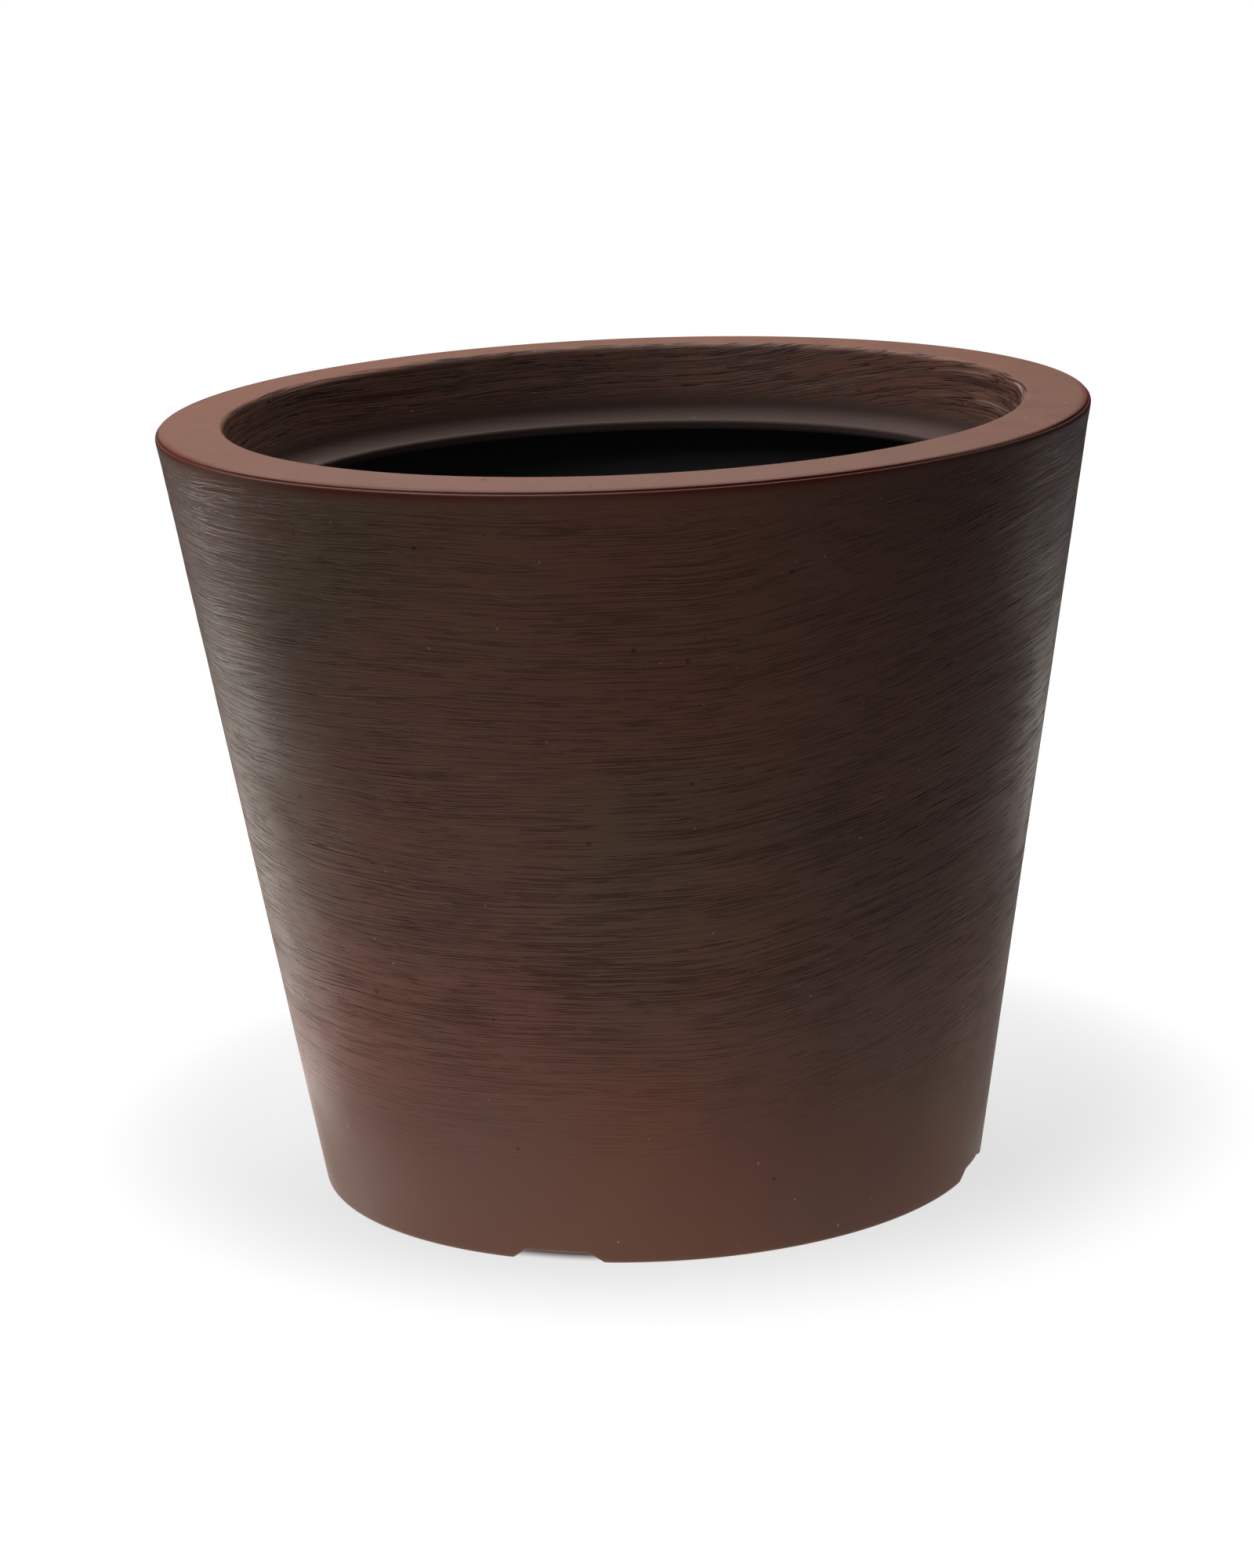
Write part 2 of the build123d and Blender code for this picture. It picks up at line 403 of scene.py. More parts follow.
def body_profile(body):
    """Closed profile of the moulding from the underside's middle round to the inner floor's middle.

    It runs along the outer skin to the lip's cut edge, straight across the wall there, and back
    along the inner skin.
    """
    outer = corner_list(body)
    inner = inner_corners(outer, body.wall, body.inside_round)
    mouth = body.top_radius - body.rim_width - body.collar_taper - body.lip_width
    outer[-1, 0] = mouth
    inner[-1, 0] = mouth
    outer_line, outer_marks = rounded_line(outer, OUTER_SIDE_ROWS, OUTER_ROUND_ROWS)
    inner_line, _ = rounded_line(inner, INNER_SIDE_ROWS, INNER_ROUND_ROWS)
    edge_shares = np.linspace(0, 1, CUT_EDGE_ROWS + 1)[1:-1, None]
    edge = outer_line[-1] + (inner_line[-1] - outer_line[-1]) * edge_shares
    line = np.vstack([outer_line, edge, inner_line[::-1]])
    edge_marks = np.full(len(edge), ON_CUT_EDGE)
    inner_marks = np.full(len(inner_line), ON_INNER_SKIN)
    return line, np.concatenate([outer_marks, edge_marks, inner_marks])


def way_out_normals(line):
    """Outward unit normals of a profile with the solid on its left: its direction turned 90 degrees right."""
    tangent = np.gradient(line, axis=0)
    tangent = tangent / np.maximum(np.linalg.norm(tangent, axis=1), 1e-9)[:, None]
    return np.column_stack([tangent[:, 1], -tangent[:, 0]])


def with_floor_rings(body, line, marks):
    """Profile whose floor faces end in extra rings: one near the axis, two round the holes' windows."""
    circle = body.hole_circle
    reach = body.hole_radius * WINDOW_REACH
    rings = np.array([circle * AXIS_RING_SHARE, circle - reach, circle + reach])
    under = np.column_stack([rings, np.full(len(rings), body.floor_raise)])
    over = np.column_stack([rings[::-1], np.full(len(rings), body.floor_raise + body.wall)])
    line = np.vstack([under, line[1:-1], over])
    marks = np.concatenate([np.zeros(len(rings)), marks[1:-1], np.full(len(rings), ON_INNER_SKIN)])
    return line, marks


def relief_depth(body, line, marks, columns):
    """Depth of the relief at each vertex, and the share of brushing there.

    The wall's brushing fades out above the smooth foot and just below the rim. The collar's
    starts on the rim's inner round and fades out into the lip's round.
    """
    depth = np.zeros((len(line), columns))
    brushed = np.zeros((len(line), columns))
    for first, last, foot_fade, head_fade, rows_ahead in (WALL_BRUSHING, COLLAR_BRUSHING):
        face = np.flatnonzero((marks >= first) & (marks <= last))
        steps = np.linalg.norm(np.diff(line[face], axis=0), axis=1)
        column_size = 2 * np.pi * line[face, 0].mean() / columns
        field = brushed_relief(len(face) + rows_ahead, columns, steps.mean(), column_size)[rows_ahead:]
        share = np.concatenate([[0.0], np.cumsum(steps)]) / steps.sum()
        fade = ease(*foot_fade, share) * ease(*head_fade, 1 - share)
        depth[face] = field * body.relief * fade[:, None]
        brushed[face] = fade[:, None]
    return depth, brushed


def seam_masks(body, line, marks, columns):
    """Shares of the parting groove and of the reddish band below it.

    The groove is a bell curve over the rim's outer round, and the band fades out down the wall.
    Round the rim both come and go with a blurred noise.
    """
    rim_round = np.flatnonzero(marks == ON_RIM_ROUND)
    along = np.linspace(0, 1, len(rim_round))
    bell = np.exp(-((along - GROOVE_MIDDLE) / GROOVE_SPREAD) ** 2)
    wobble = streaks(1, columns, 1.0, SEAM_STEP, *GROOVE_NOISE)[0]
    groove = np.zeros((len(line), columns))
    groove[rim_round] = bell[:, None] * np.clip(1.9 * wobble, 0.3, 1)[None, :]
    near_rim = (marks == ON_WALL) | (marks == ON_RIM_ROUND)
    band = ease(BLUSH_FOOT, BLUSH_TOP, body.height - line[:, 1]) * near_rim
    patches = streaks(1, columns, 1.0, SEAM_STEP, *BLUSH_NOISE)[0]
    blush = band[:, None] * np.clip(3.2 * patches - 0.9, 0, 1)[None, :]
    return groove, blush


def row_share(marks, mark):
    """Share of the way along one side or round of the profile, 0 before it and 1 after it."""
    before = np.cumsum(marks == mark)
    return before / before[-1]


def rim_share(marks):
    """Share of the rim's lighter colour along the profile: full on the flat, fading over its two rounds."""
    outer = ease(0.3, 1.0, row_share(marks, ON_RIM_ROUND))
    inner = ease(1.0, 0.2, row_share(marks, ON_INNER_ROUND))
    return (marks == ON_RIM) + (marks == ON_RIM_ROUND) * outer + (marks == ON_INNER_ROUND) * inner


def lip_share(marks):
    """Share of the lip's grey along the profile: full on the lip and its cut edge, fading up its round."""
    flat = (marks >= ON_LIP) & (marks < ON_INNER_SKIN)
    collar_end = (marks == ON_COLLAR) * 0.8 * ease(0.6, 1.0, row_share(marks, ON_COLLAR))
    lip_round = (marks == ON_LIP_ROUND) * (0.8 + 0.2 * row_share(marks, ON_LIP_ROUND))
    return flat + collar_end + lip_round


def pressed_notches(body, line, marks, angles, radius, height):
    """Radius and height with the notches pressed into the foot and their bumps raised on the inner floor.

    A notch lifts the ground edge by its own height, and the skin above it less and less up to the
    top of a low band. Where the wall is lifted, its points follow the wall's lean.
    """
    angle = np.broadcast_to(angles, radius.shape)
    lift = notch_height(body, np.minimum(radius, body.base_radius), angle, 0.0)
    bump = notch_height(body, radius, angle, body.wall)
    foot_inner = body.base_radius - body.foot_width
    outer_skin = (marks < ON_CUT_EDGE)[:, None]
    low_band = LIFTED_HEIGHTS * body.floor_raise
    outside = outer_skin & (height < low_band) & (radius > foot_inner)
    slope = outer_skin & (height < body.floor_raise) & (radius <= foot_inner)
    inner_low = (marks == ON_INNER_SKIN)[:, None] & (height < body.floor_raise + body.wall)
    height = np.where(outside, lift + height * (low_band - lift) / low_band, height)
    height = np.where(slope, np.maximum(height, lift), height)
    height = np.where(inner_low, np.maximum(height, bump), height)
    lean = (body.top_radius - body.base_radius) / (body.height - body.rim_fall)
    on_wall = outside & ((marks >= ON_BASE_ROUND) & (marks <= ON_WALL))[:, None]
    radius = np.where(on_wall, radius + lean * (height - line[:, 1][:, None]), radius)
    return radius, height


def drain_holes(body, angles, rows, columns):
    """Holes through both floor faces: the mask of the grid's kept quads, the new vertices and quads.

    Each hole opens a window in the grid. The window's border vertices are joined to points on the
    hole's circle in the same direction from its middle, and the two circles to each other.
    """
    reach = body.hole_radius * WINDOW_REACH
    half = int(np.ceil(np.arcsin(reach / body.hole_circle) / (2 * np.pi / columns)))
    keep = np.ones((rows - 1, columns), bool)
    vertices, quads = [], []
    count = rows * columns
    for turn in range(NOTCH_COUNT):
        middle = turn * columns // NOTCH_COUNT
        bearing = body.notch_bearing + turn * 2 * np.pi / NOTCH_COUNT
        centre = body.hole_circle * np.array([np.cos(bearing), np.sin(bearing)])
        near_columns = (middle + np.arange(-half, half + 1)) % columns
        far_columns = near_columns[::-1]
        ring_radius = np.repeat([body.hole_circle - reach, body.hole_circle + reach], len(near_columns))
        ring_angle = angles[np.concatenate([near_columns, far_columns])]
        ray = np.column_stack([ring_radius * np.cos(ring_angle), ring_radius * np.sin(ring_angle)]) - centre
        circle = centre + ray / np.linalg.norm(ray, axis=1)[:, None] * body.hole_radius
        circles = []
        for near, far, level, side in ((1, 2, body.floor_raise, 1),
                                       (rows - 2, rows - 3, body.floor_raise + body.wall, -1)):
            keep[min(near, far), near_columns[:-1]] = False
            border = np.concatenate([near * columns + near_columns, far * columns + far_columns])
            numbers = count + np.arange(len(circle))
            count += len(circle)
            vertices.append(np.column_stack([circle, np.full(len(circle), level)]))
            strip = [border, np.roll(border, -1), np.roll(numbers, -1), numbers]
            quads.append(np.column_stack(strip[::side]))
            circles.append(numbers)
        low, high = circles
        quads.append(np.column_stack([low, np.roll(low, -1), np.roll(high, -1), high]))
    return keep, np.vstack(vertices), np.vstack(quads)


def pole_fans(rows, columns, count):
    """Triangles that close the first and the last ring about the two poles, the last two of all vertices."""
    ring = np.arange(columns)
    after = np.roll(ring, -1)
    last_row = (rows - 1) * columns
    low = np.column_stack([np.full(columns, count - 2), after, ring])
    high = np.column_stack([np.full(columns, count - 1), last_row + ring, last_row + after])
    return np.vstack([low, high])


class PLANTER_OT_body(bpy.types.Operator):
    """Builds the moulded body as one closed surface of revolution with notches, holes and relief"""

    bl_idname = "planter.body"
    bl_label = "Moulded body"

    def execute(self, context):
        body = context.scene.planter_body
        line, marks = with_floor_rings(body, *body_profile(body))
        angles = column_angles(body)
        rows, columns = len(line), len(angles)
        depth, brushed = relief_depth(body, line, marks, columns)
        groove, blush = seam_masks(body, line, marks, columns)
        depth = depth + groove * body.groove
        normals = way_out_normals(line)
        radius = line[:, 0][:, None] - normals[:, 0][:, None] * depth
        height = line[:, 1][:, None] - normals[:, 1][:, None] * depth
        radius, height = pressed_notches(body, line, marks, angles, radius, height)
        skin = np.stack([radius * np.cos(angles), radius * np.sin(angles), height], axis=-1).reshape(-1, 3)
        keep, hole_vertices, hole_quads = drain_holes(body, angles, rows, columns)
        poles = np.array([(0, 0, body.floor_raise), (0, 0, body.floor_raise + body.wall)])
        vertices = np.vstack([skin, hole_vertices, poles])
        parts = (grid_faces(rows, columns)[keep], hole_quads, pole_fans(rows, columns, len(vertices)))
        faces = [face for part in parts for face in part.tolist()]
        masks = {
            "inside_face": np.repeat((marks >= ON_INNER_SKIN)[:, None], columns, axis=1),
            "rim_face": np.repeat(rim_share(marks)[:, None], columns, axis=1),
            "lip_face": np.repeat(lip_share(marks)[:, None], columns, axis=1),
            "collar_face": brushed * (marks >= ON_INNER_ROUND)[:, None],
            "brushed": brushed,
            "seam": np.maximum(groove, 0.75 * blush),
        }
        spare = len(vertices) - rows * columns
        masks = {label: np.pad(mask.ravel().astype(float), (0, spare)) for label, mask in masks.items()}
        masks["inside_face"][-spare:] = vertices[-spare:, 2] > body.floor_raise + body.wall / 2
        piece = mesh_object("moulded_body", vertices, faces, masks)
        piece.data.materials.append(plastic_material(context.scene.planter_finish))
        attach(piece, "shell")
        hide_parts("planter_shell")
        return {"FINISHED"}


class Nodes:
    """Short way to add and join nodes in one tree."""

    def __init__(self, tree):
        self.tree = tree

    def add(self, kind, inputs=None, **settings):
        """Adds a node, sets its properties and joins or sets its inputs by name or number."""
        node = self.tree.nodes.new(kind)
        for key, value in settings.items():
            setattr(node, key, value)
        for key, value in (inputs or {}).items():
            socket = node.inputs[key]
            if isinstance(value, bpy.types.NodeSocket):
                self.tree.links.new(value, socket)
            else:
                socket.default_value = value
        return node

    def math(self, operation, first, second=0.0, third=0.0):
        """Maths node's result."""
        return self.add("ShaderNodeMath", {0: first, 1: second, 2: third}, operation=operation).outputs[0]

    def times(self, first, second):
        """Product of two values."""
        return self.math("MULTIPLY", first, second)

    def plus(self, first, second):
        """Sum of two values."""
        return self.math("ADD", first, second)

    def minus(self, first, second):
        """Difference of two values."""
        return self.math("SUBTRACT", first, second)

    def axes(self, vector):
        """The three coordinates of a vector."""
        return self.add("ShaderNodeSeparateXYZ", {0: vector}).outputs

    def distance(self, vector, point):
        """Distance of a vector from a point."""
        return self.add("ShaderNodeVectorMath", {0: vector, 1: point}, operation="DISTANCE").outputs["Value"]

    def bump(self, height):
        """Normal bent by a height in metres."""
        return self.add("ShaderNodeBump", {"Strength": 1.0, "Distance": 1.0, "Height": height}).outputs[0]

    def feed(self, value, shader, socket):
        """Joins a value to a named input of the shader."""
        self.tree.links.new(value, shader.inputs[socket])

    def ramp(self, value, low, high, low_out=0.0, high_out=1.0):
        """Smooth step of a value between two limits."""
        node = self.add("ShaderNodeMapRange", {0: value, 1: low, 2: high, 3: low_out, 4: high_out},
                        interpolation_type="SMOOTHSTEP")
        return node.outputs[0]

    def noise(self, vector, scale, detail=2.0, roughness=0.5, distortion=0.0):
        """Noise value between 0 and 1."""
        node = self.add("ShaderNodeTexNoise", {"Vector": vector, "Scale": scale, "Detail": detail,
                                               "Roughness": roughness, "Distortion": distortion})
        return node.outputs["Fac"]

    def stretch(self, vector, across, upward):
        """Vector scaled by one factor across and another upward."""
        node = self.add("ShaderNodeMapping", {"Vector": vector, "Scale": (across, across, upward)})
        return node.outputs[0]

    def blend(self, share, first, second):
        """Colour mix."""
        node = self.add("ShaderNodeMix", data_type="RGBA")
        for index, value in ((0, share), (6, first), (7, second)):
            if isinstance(value, bpy.types.NodeSocket):
                self.tree.links.new(value, node.inputs[index])
            else:
                node.inputs[index].default_value = value
        return node.outputs[2]


def rgba(values):
    """Colour with full alpha."""
    return (values[0], values[1], values[2], 1.0)


def effect_group(name, outputs):
    """Empty node group with a Vector input and named value outputs: its tree, its nodes and its vector."""
    tree = bpy.data.node_groups.new(name, "ShaderNodeTree")
    tree.interface.new_socket(name="Vector", in_out="INPUT", socket_type="NodeSocketVector")
    for label in outputs:
        tree.interface.new_socket(name=label, in_out="OUTPUT", socket_type="NodeSocketFloat")
    nodes = Nodes(tree)
    return tree, nodes, nodes.add("NodeGroupInput").outputs["Vector"]


def brush_strokes(nodes, position):
    """Height of the brushed strokes, without a unit, and a mask of the painted shade in the strokes' bottoms.

    The strokes are noises stretched along the wall and squeezed upward, on a position whose
    height sways, ripples and falls to the right. The painted shade lies where a noise crosses one half.
    """
    x, y, z = nodes.axes(position)
    sway = nodes.noise(nodes.stretch(position, 1.0, 1.6), 5.0, 1.5)
    ripple = nodes.noise(nodes.stretch(position, 1.0, 3.0), 26.0, 2.0)
    bent = nodes.plus(z, nodes.times(nodes.minus(sway, 0.5), STROKE_SWAY))
    bent = nodes.plus(bent, nodes.times(nodes.minus(ripple, 0.5), STROKE_RIPPLE))
    bent = nodes.minus(bent, nodes.times(nodes.ramp(x, 0.02, 0.30), STROKE_SLANT))
    place = nodes.add("ShaderNodeCombineXYZ", {0: x, 1: y, 2: bent}).outputs[0]
    coarse = nodes.noise(nodes.stretch(place, *COARSE_STRETCH), 1.0, 2.0, 0.55)
    fine = nodes.noise(nodes.stretch(place, *FINE_STRETCH), 1.0, 2.0, 0.55)
    hair = nodes.noise(nodes.stretch(place, *HAIR_STRETCH), 1.0, 1.0, 0.5)
    crease = nodes.ramp(nodes.math("ABSOLUTE", nodes.minus(coarse, 0.5)), 0.0, 0.024, 1.0, 0.0)
    crease_fine = nodes.ramp(nodes.math("ABSOLUTE", nodes.minus(fine, 0.5)), 0.0, 0.045, 1.0, 0.0)
    presence = nodes.ramp(nodes.noise(nodes.stretch(position, 1.0, 2.5), 9.0, 4.0, 0.65), 0.44, 0.60)
    presence_fine = nodes.ramp(nodes.noise(nodes.stretch(position, 1.0, 3.5), 22.0, 4.0, 0.65), 0.36, 0.56)
    crease = nodes.times(crease, presence)
    crease_fine = nodes.times(crease_fine, presence_fine)
    # Painted shade mask: the creases of both stroke sizes
    lines = nodes.math("MAXIMUM", crease, nodes.times(crease_fine, 0.75))
    level = nodes.plus(nodes.times(coarse, 0.50), nodes.times(fine, 0.30))
    level = nodes.plus(level, nodes.times(hair, 0.12))
    return nodes.minus(level, nodes.times(lines, 0.80)), lines


def mottle_group():
    """Group of slow colour changes: masks between 0 and 1 for the red, olive and plum blotches.

    Each is a noise, moved so that no two lie alike, times the blotches' share at that place. Half
    of the plum mask is a smooth patch over the wall's upper right instead.
    """
    tree, nodes, position = effect_group("mottling", [name for name, _, _ in BLOTCHES])
    x, _, z = nodes.axes(position)
    places = {
        "Red": nodes.times(nodes.ramp(z, 0.30, 0.16, 0.30, 1.0), nodes.ramp(z, 0.03, 0.13, 0.25, 1.0)),
        "Olive": nodes.ramp(z, 0.15, 0.35, 0.4, 1.0),
        "Plum": nodes.ramp(x, -0.10, 0.15, 0.5, 1.0),
    }
    masks = {}
    for name, shift, scale in BLOTCHES:
        location = (shift, -shift, shift * 0.5)
        moved = nodes.add("ShaderNodeMapping", {"Vector": position, "Location": location}).outputs[0]
        patch = nodes.ramp(nodes.noise(moved, scale, 3.0, 0.55, 0.4), 0.42, 0.66)
        masks[name] = nodes.times(patch, places[name])
    right_top = nodes.times(nodes.ramp(x, 0.03, 0.20), nodes.ramp(z, 0.10, 0.30))
    masks["Plum"] = nodes.math("MULTIPLY_ADD", right_top, 0.5, nodes.times(masks["Plum"], 0.5))
    nodes.add("NodeGroupOutput", masks)
    return tree


def speck_group():
    """Group of small marks: pits of the mould and pale specks of dust, as masks between 0 and 1.

    A cell's colour picks the few cells that have a mark, and its size, round the cell's middle.
    """
    tree, nodes, position = effect_group("specks and pits", [entry[0] for entry in MARKS_IN_CELLS])
    masks = {}
    for name, scale, channel, least, reach in MARKS_IN_CELLS:
        cells = nodes.add("ShaderNodeTexVoronoi", {"Vector": position, "Scale": scale})
        colours = nodes.add("ShaderNodeSeparateColor", {0: cells.outputs["Color"]}).outputs
        limit = nodes.ramp(colours[channel], least, 1.0, 0.0, reach)
        masks[name] = nodes.math("LESS_THAN", cells.outputs["Distance"], limit)
    nodes.add("NodeGroupOutput", masks)
    return tree


def new_material(name):
    """Empty node material with its shader and output joined, and the short way to add nodes."""
    material = bpy.data.materials.new(name)
    material.use_nodes = True
    tree = material.node_tree
    tree.nodes.clear()
    nodes = Nodes(tree)
    shader = nodes.add("ShaderNodeBsdfPrincipled")
    nodes.add("ShaderNodeOutputMaterial", {"Surface": shader.outputs[0]})
    return material, nodes, shader


def plastic_tint(nodes, finish, place, masks, strokes, lines, specks):
    """Colour of the plastic: the main brown, with each layer's colour blended over it by its share."""
    mottle = nodes.add("ShaderNodeGroup", {"Vector": place}, node_tree=mottle_group()).outputs
    worn = nodes.ramp(nodes.noise(place, 34.0, 5.0, 0.7), 0.40, 0.70, 1.0, 0.60)
    # Painted shade on the collar: darker where the stroke height is low
    collar_crease_shade = nodes.ramp(strokes, 0.46, 0.30, 0.0, 0.80)
    x, _, z = nodes.axes(place)
    top_right = nodes.times(nodes.ramp(x, 0.20, 0.26), nodes.ramp(z, 0.38, 0.45))
    scuffs = nodes.times(nodes.ramp(strokes, 0.50, 0.58, 0.0, 0.5), masks["brushed"])
    layers = [
        (mottle["Red"], finish.red_brown),
        (mottle["Olive"], finish.green_brown),
        (mottle["Plum"], finish.plum),
        (nodes.times(masks["rim_face"], worn), finish.rim_brown),
        (masks["lip_face"], finish.lip_grey),
        (masks["seam"], finish.seam_red),
        # Painted shade in the strokes' creases on the brushed faces
        (nodes.times(lines, 0.42), finish.crease_shade),
        (nodes.times(masks["collar_face"], 0.8), finish.rim_brown),
        # Painted shade in the collar's low strokes
        (nodes.times(collar_crease_shade, masks["collar_face"]), finish.crease_shade),
        # Painted shade in the mould's pits
        (nodes.times(specks["Pits"], 0.6), finish.crease_shade),
        (nodes.times(specks["Dust"], 0.35), finish.dust),
        (nodes.times(scuffs, top_right), finish.dust),
        (masks["inside_face"], finish.inside),
    ]
    tint = rgba(finish.brown)
    for share, over in layers:
        tint = nodes.blend(share, tint, rgba(over))
    return tint


def plastic_height(nodes, finish, place, masks, strokes, specks):
    """Height of the plastic's surface in metres: strokes, grain, pits and the rim's slow ripple."""
    stroke = nodes.times(nodes.times(strokes, masks["brushed"]), finish.stroke_depth)
    grain = nodes.times(nodes.noise(place, 420.0, 3.0, 0.6), GRAIN_DEPTH)
    pit = nodes.times(specks["Pits"], -PIT_DEPTH)
    ripple = nodes.times(nodes.times(nodes.noise(place, 70.0, 3.0, 0.6), masks["rim_face"]), RIM_RIPPLE_DEPTH)
    return nodes.plus(nodes.plus(stroke, grain), nodes.plus(pit, ripple))


def plastic_material(finish):
    """Brown moulded plastic: brushed strokes where the mould was brushed, smooth rim, dark inner face."""
    material, nodes, shader = new_material("moulded plastic")
    place = nodes.add("ShaderNodeTexCoord").outputs["Object"]
    masks = {}
    for label in ("brushed", "inside_face", "rim_face", "lip_face", "seam", "collar_face"):
        masks[label] = nodes.add("ShaderNodeAttribute", attribute_name=label).outputs["Fac"]
    strokes, lines = brush_strokes(nodes, place)
    lines = nodes.times(lines, masks["brushed"])
    specks = nodes.add("ShaderNodeGroup", {"Vector": place}, node_tree=speck_group()).outputs
    nodes.feed(plastic_tint(nodes, finish, place, masks, strokes, lines, specks), shader, "Base Color")
    nodes.feed(nodes.bump(plastic_height(nodes, finish, place, masks, strokes, specks)), shader, "Normal")
    cloudy = nodes.noise(place, 9.0, 3.0)
    rough = nodes.ramp(cloudy, 0.3, 0.7, finish.roughness - 0.05, finish.roughness + 0.08)
    dry = nodes.math("MAXIMUM", masks["inside_face"], masks["lip_face"])
    rough = nodes.plus(rough, nodes.times(dry, 0.3))
    rough = nodes.plus(rough, nodes.times(masks["rim_face"], 0.15))
    nodes.feed(rough, shader, "Roughness")
    dull = nodes.math("MAXIMUM", lines, masks["lip_face"])
    shine = nodes.ramp(dull, 0.0, 1.0, finish.shine, finish.shine * 0.3)
    nodes.feed(shine, shader, "Specular IOR Level")
    return material


def rubber_material(finish):
    """Black moulded rubber with a fine grain and a little dust."""
    material, nodes, shader = new_material("stopper rubber")
    place = nodes.add("ShaderNodeTexCoord").outputs["Object"]
    group = bpy.data.node_groups["specks and pits"]
    specks = nodes.add("ShaderNodeGroup", {"Vector": place}, node_tree=group).outputs
    bloom = nodes.ramp(nodes.noise(place, 60.0, 4.0), 0.45, 0.75, 0.0, 0.12)
    tint = nodes.blend(bloom, rgba(finish.rubber), rgba(finish.dust))
    tint = nodes.blend(nodes.times(specks["Dust"], 0.5), tint, rgba(finish.dust))
    nodes.feed(tint, shader, "Base Color")
    nodes.feed(nodes.ramp(nodes.noise(place, 90.0, 3.0), 0.3, 0.7, 0.55, 0.75), shader, "Roughness")
    grain = nodes.times(nodes.noise(place, 900.0, 2.0), GRAIN_DEPTH)
    nodes.feed(nodes.bump(grain), shader, "Normal")
    return material


class PLANTER_OT_stoppers(bpy.types.Operator):
    """Gives the four drain stoppers their rubber"""

    bl_idname = "planter.stoppers"
    bl_label = "Drain stoppers"

    def execute(self, context):
        rubber = rubber_material(context.scene.planter_finish)
        for node in PLUG_NODES:
            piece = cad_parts[node]
            piece.data.materials.clear()
            piece.data.materials.append(rubber)
        return {"FINISHED"}


def area_light(name, power, place, aim, width, height):
    """Rectangular soft light at a place, turned to its aim."""
    data = bpy.data.lights.new(name, "AREA")
    data.shape = "RECTANGLE"
    data.size = width
    data.size_y = height
    data.energy = power
    lamp = bpy.data.objects.new(name, data)
    lamp.location = place
    lamp.rotation_euler = (Vector(aim) - Vector(place)).to_track_quat("-Z", "Y").to_euler()
    lamp.visible_camera = False
    bpy.context.scene.collection.objects.link(lamp)


def studio_camera(studio):
    """Camera at the photograph's viewing angle, as a matrix of its right, up and back directions."""
    right = Vector((1, 0, 0))
    ahead = Vector((0, np.cos(studio.pitch), -np.sin(studio.pitch)))
    upward = Vector((0, np.sin(studio.pitch), np.cos(studio.pitch)))
    turned_right = right * np.cos(studio.roll) + upward * np.sin(studio.roll)
    turned_up = upward * np.cos(studio.roll) - right * np.sin(studio.roll)
    data = bpy.data.cameras.new("camera")
    data.sensor_width = 36.0
    data.lens = studio.lens
    data.clip_end = 500.0
    camera = bpy.data.objects.new("camera", data)
    matrix = Matrix((turned_right, turned_up, -ahead)).transposed().to_4x4()
    matrix.translation = Vector((studio.camera_side, -studio.distance, studio.camera_height))
    camera.matrix_world = matrix
    bpy.context.scene.collection.objects.link(camera)
    bpy.context.scene.camera = camera


def floor_material(studio):
    """Matte floor that looks white to the camera and lights the wall above it near the planter.

    The camera sees a white with painted shadow: dimmed in a soft ring about the planter and dark under it.
    All other rays meet a glow that falls off outward and to the right, and the bright pools.
    """
    material, nodes, shader = new_material("studio floor")
    shader.inputs["Base Color"].default_value = FLOOR_GREY
    shader.inputs["Roughness"].default_value = 0.9
    shader.inputs["Specular IOR Level"].default_value = 0.0
    rays = nodes.add("ShaderNodeLightPath").outputs["Is Camera Ray"]
    nodes.feed(nodes.blend(rays, WARM_WHITE, WHITE), shader, "Emission Color")
    place = nodes.add("ShaderNodeTexCoord").outputs["Object"]
    away = nodes.add("ShaderNodeVectorMath", {0: place}, operation="LENGTH").outputs["Value"]
    # Painted shadow, seen by the camera only: a soft ring about the planter and dark shade under it
    seen = nodes.ramp(nodes.distance(place, SHADE_MIDDLE), 0.28, 0.50, 0.73, 1.0)
    seen = nodes.times(seen, nodes.ramp(away, 0.199, 0.215, 0.04, 1.0))
    near = nodes.ramp(away, 0.30, 0.95, studio.floor_glow, 0.04)
    glow = nodes.times(near, nodes.ramp(nodes.axes(place)[0], -0.45, 0.35, 1.35, 0.62))
    for spot, reach, share in FLOOR_POOLS:
        pool = nodes.ramp(nodes.distance(place, spot), POOL_EDGE, reach, studio.floor_pool * share, 0.0)
        glow = nodes.plus(glow, pool)
    strength = nodes.add("ShaderNodeMix", {0: rays, 2: glow, 3: seen}).outputs[0]
    nodes.feed(strength, shader, "Emission Strength")
    return material


def studio_floor(studio):
    """Pale floor: a flat disc of rings about the axis."""
    rings = np.array(FLOOR_RINGS)
    angle = np.arange(FLOOR_COLUMNS) * 2 * np.pi / FLOOR_COLUMNS
    spread = rings[:, None, None] * np.stack([np.cos(angle), np.sin(angle)], axis=-1)[None]
    flat = np.zeros((len(rings), FLOOR_COLUMNS, 1))
    vertices = np.concatenate([spread, flat], axis=-1).reshape(-1, 3)
    faces = grid_faces(len(rings), FLOOR_COLUMNS)[:, :, ::-1].reshape(-1, 4)
    piece = mesh_object("studio_floor", vertices, faces.tolist(), {})
    piece.data.materials.append(floor_material(studio))


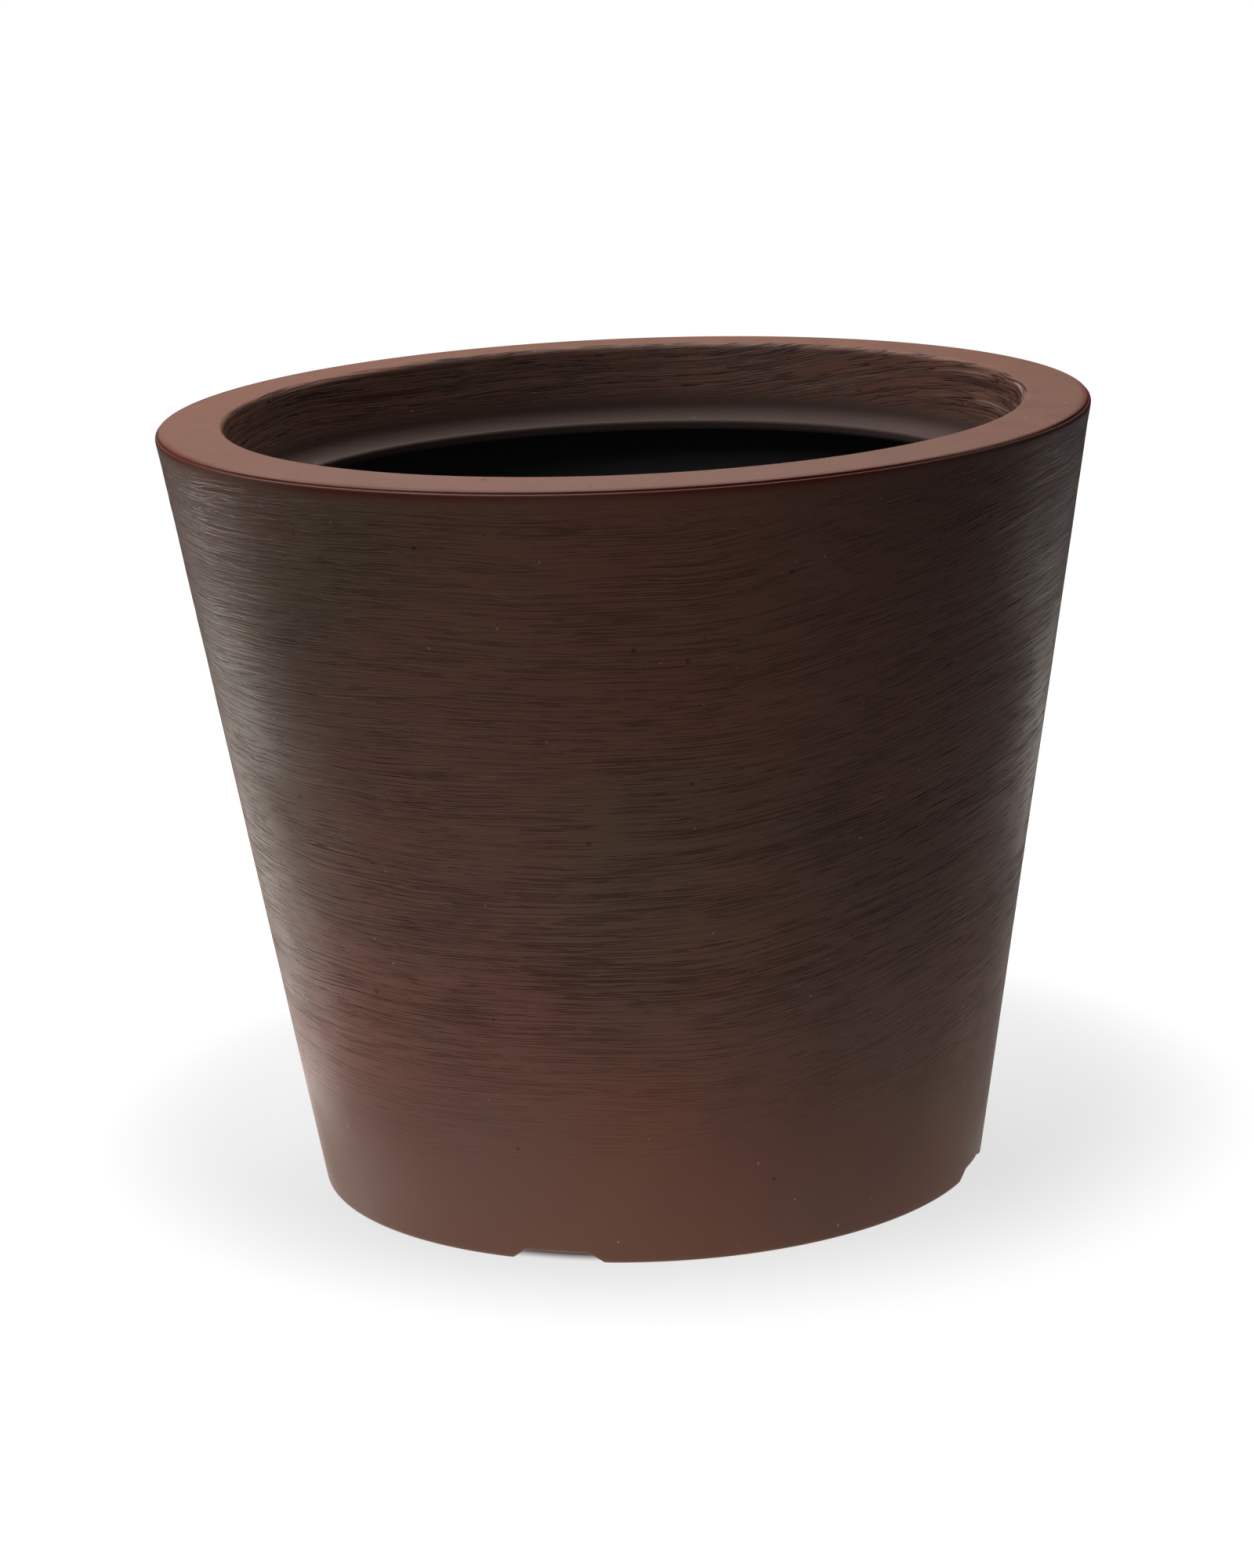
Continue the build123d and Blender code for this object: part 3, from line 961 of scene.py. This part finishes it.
class PLANTER_OT_studio(bpy.types.Operator):
    """Sets the camera, the pale floor and the soft lights"""

    bl_idname = "planter.studio"
    bl_label = "Studio"

    def execute(self, context):
        studio = context.scene.planter_studio
        studio_camera(studio)
        studio_floor(studio)
        for name, power, place, aim, width, height in SOFT_LIGHTS:
            area_light(name, getattr(studio, power), place, aim, width, height)
        world = bpy.data.worlds.new("studio room")
        world.use_nodes = True
        background = world.node_tree.nodes["Background"]
        background.inputs["Color"].default_value = WHITE
        background.inputs["Strength"].default_value = studio.room
        context.scene.world = world
        context.scene.view_settings.view_transform = "Standard"
        context.scene.view_settings.look = "None"
        return {"FINISHED"}


class PLANTER_PT_panel(bpy.types.Panel):
    """Lists the planter's operators and sizes"""

    bl_idname = "PLANTER_PT_panel"
    bl_label = "Cone planter"
    bl_space_type = "VIEW_3D"
    bl_region_type = "UI"
    bl_category = "Planter"

    def draw(self, context):
        layout = self.layout
        for operator in OPERATORS:
            layout.operator(operator.bl_idname)
        for group in (context.scene.planter_body, context.scene.planter_finish, context.scene.planter_studio):
            box = layout.box()
            for name in group.__annotations__:
                box.prop(group, name)


OPERATORS = [PLANTER_OT_body, PLANTER_OT_stoppers, PLANTER_OT_studio]
GROUPS = [PLANTER_PG_body, PLANTER_PG_finish, PLANTER_PG_studio]


def register():
    """Registers the groups, operators and panel, and hangs the groups on the scene."""
    for entry in GROUPS + OPERATORS + [PLANTER_PT_panel]:
        bpy.utils.register_class(entry)
    bpy.types.Scene.planter_body = bpy.props.PointerProperty(type=PLANTER_PG_body)
    bpy.types.Scene.planter_finish = bpy.props.PointerProperty(type=PLANTER_PG_finish)
    bpy.types.Scene.planter_studio = bpy.props.PointerProperty(type=PLANTER_PG_studio)


def unregister():
    """Takes back what register did."""
    del bpy.types.Scene.planter_studio
    del bpy.types.Scene.planter_finish
    del bpy.types.Scene.planter_body
    for entry in reversed(GROUPS + OPERATORS + [PLANTER_PT_panel]):
        bpy.utils.unregister_class(entry)


def main():
    """Builds the whole scene."""
    register()
    bpy.ops.planter.body()
    bpy.ops.planter.stoppers()
    bpy.ops.planter.studio()


if __name__ == "__main__":
    main()
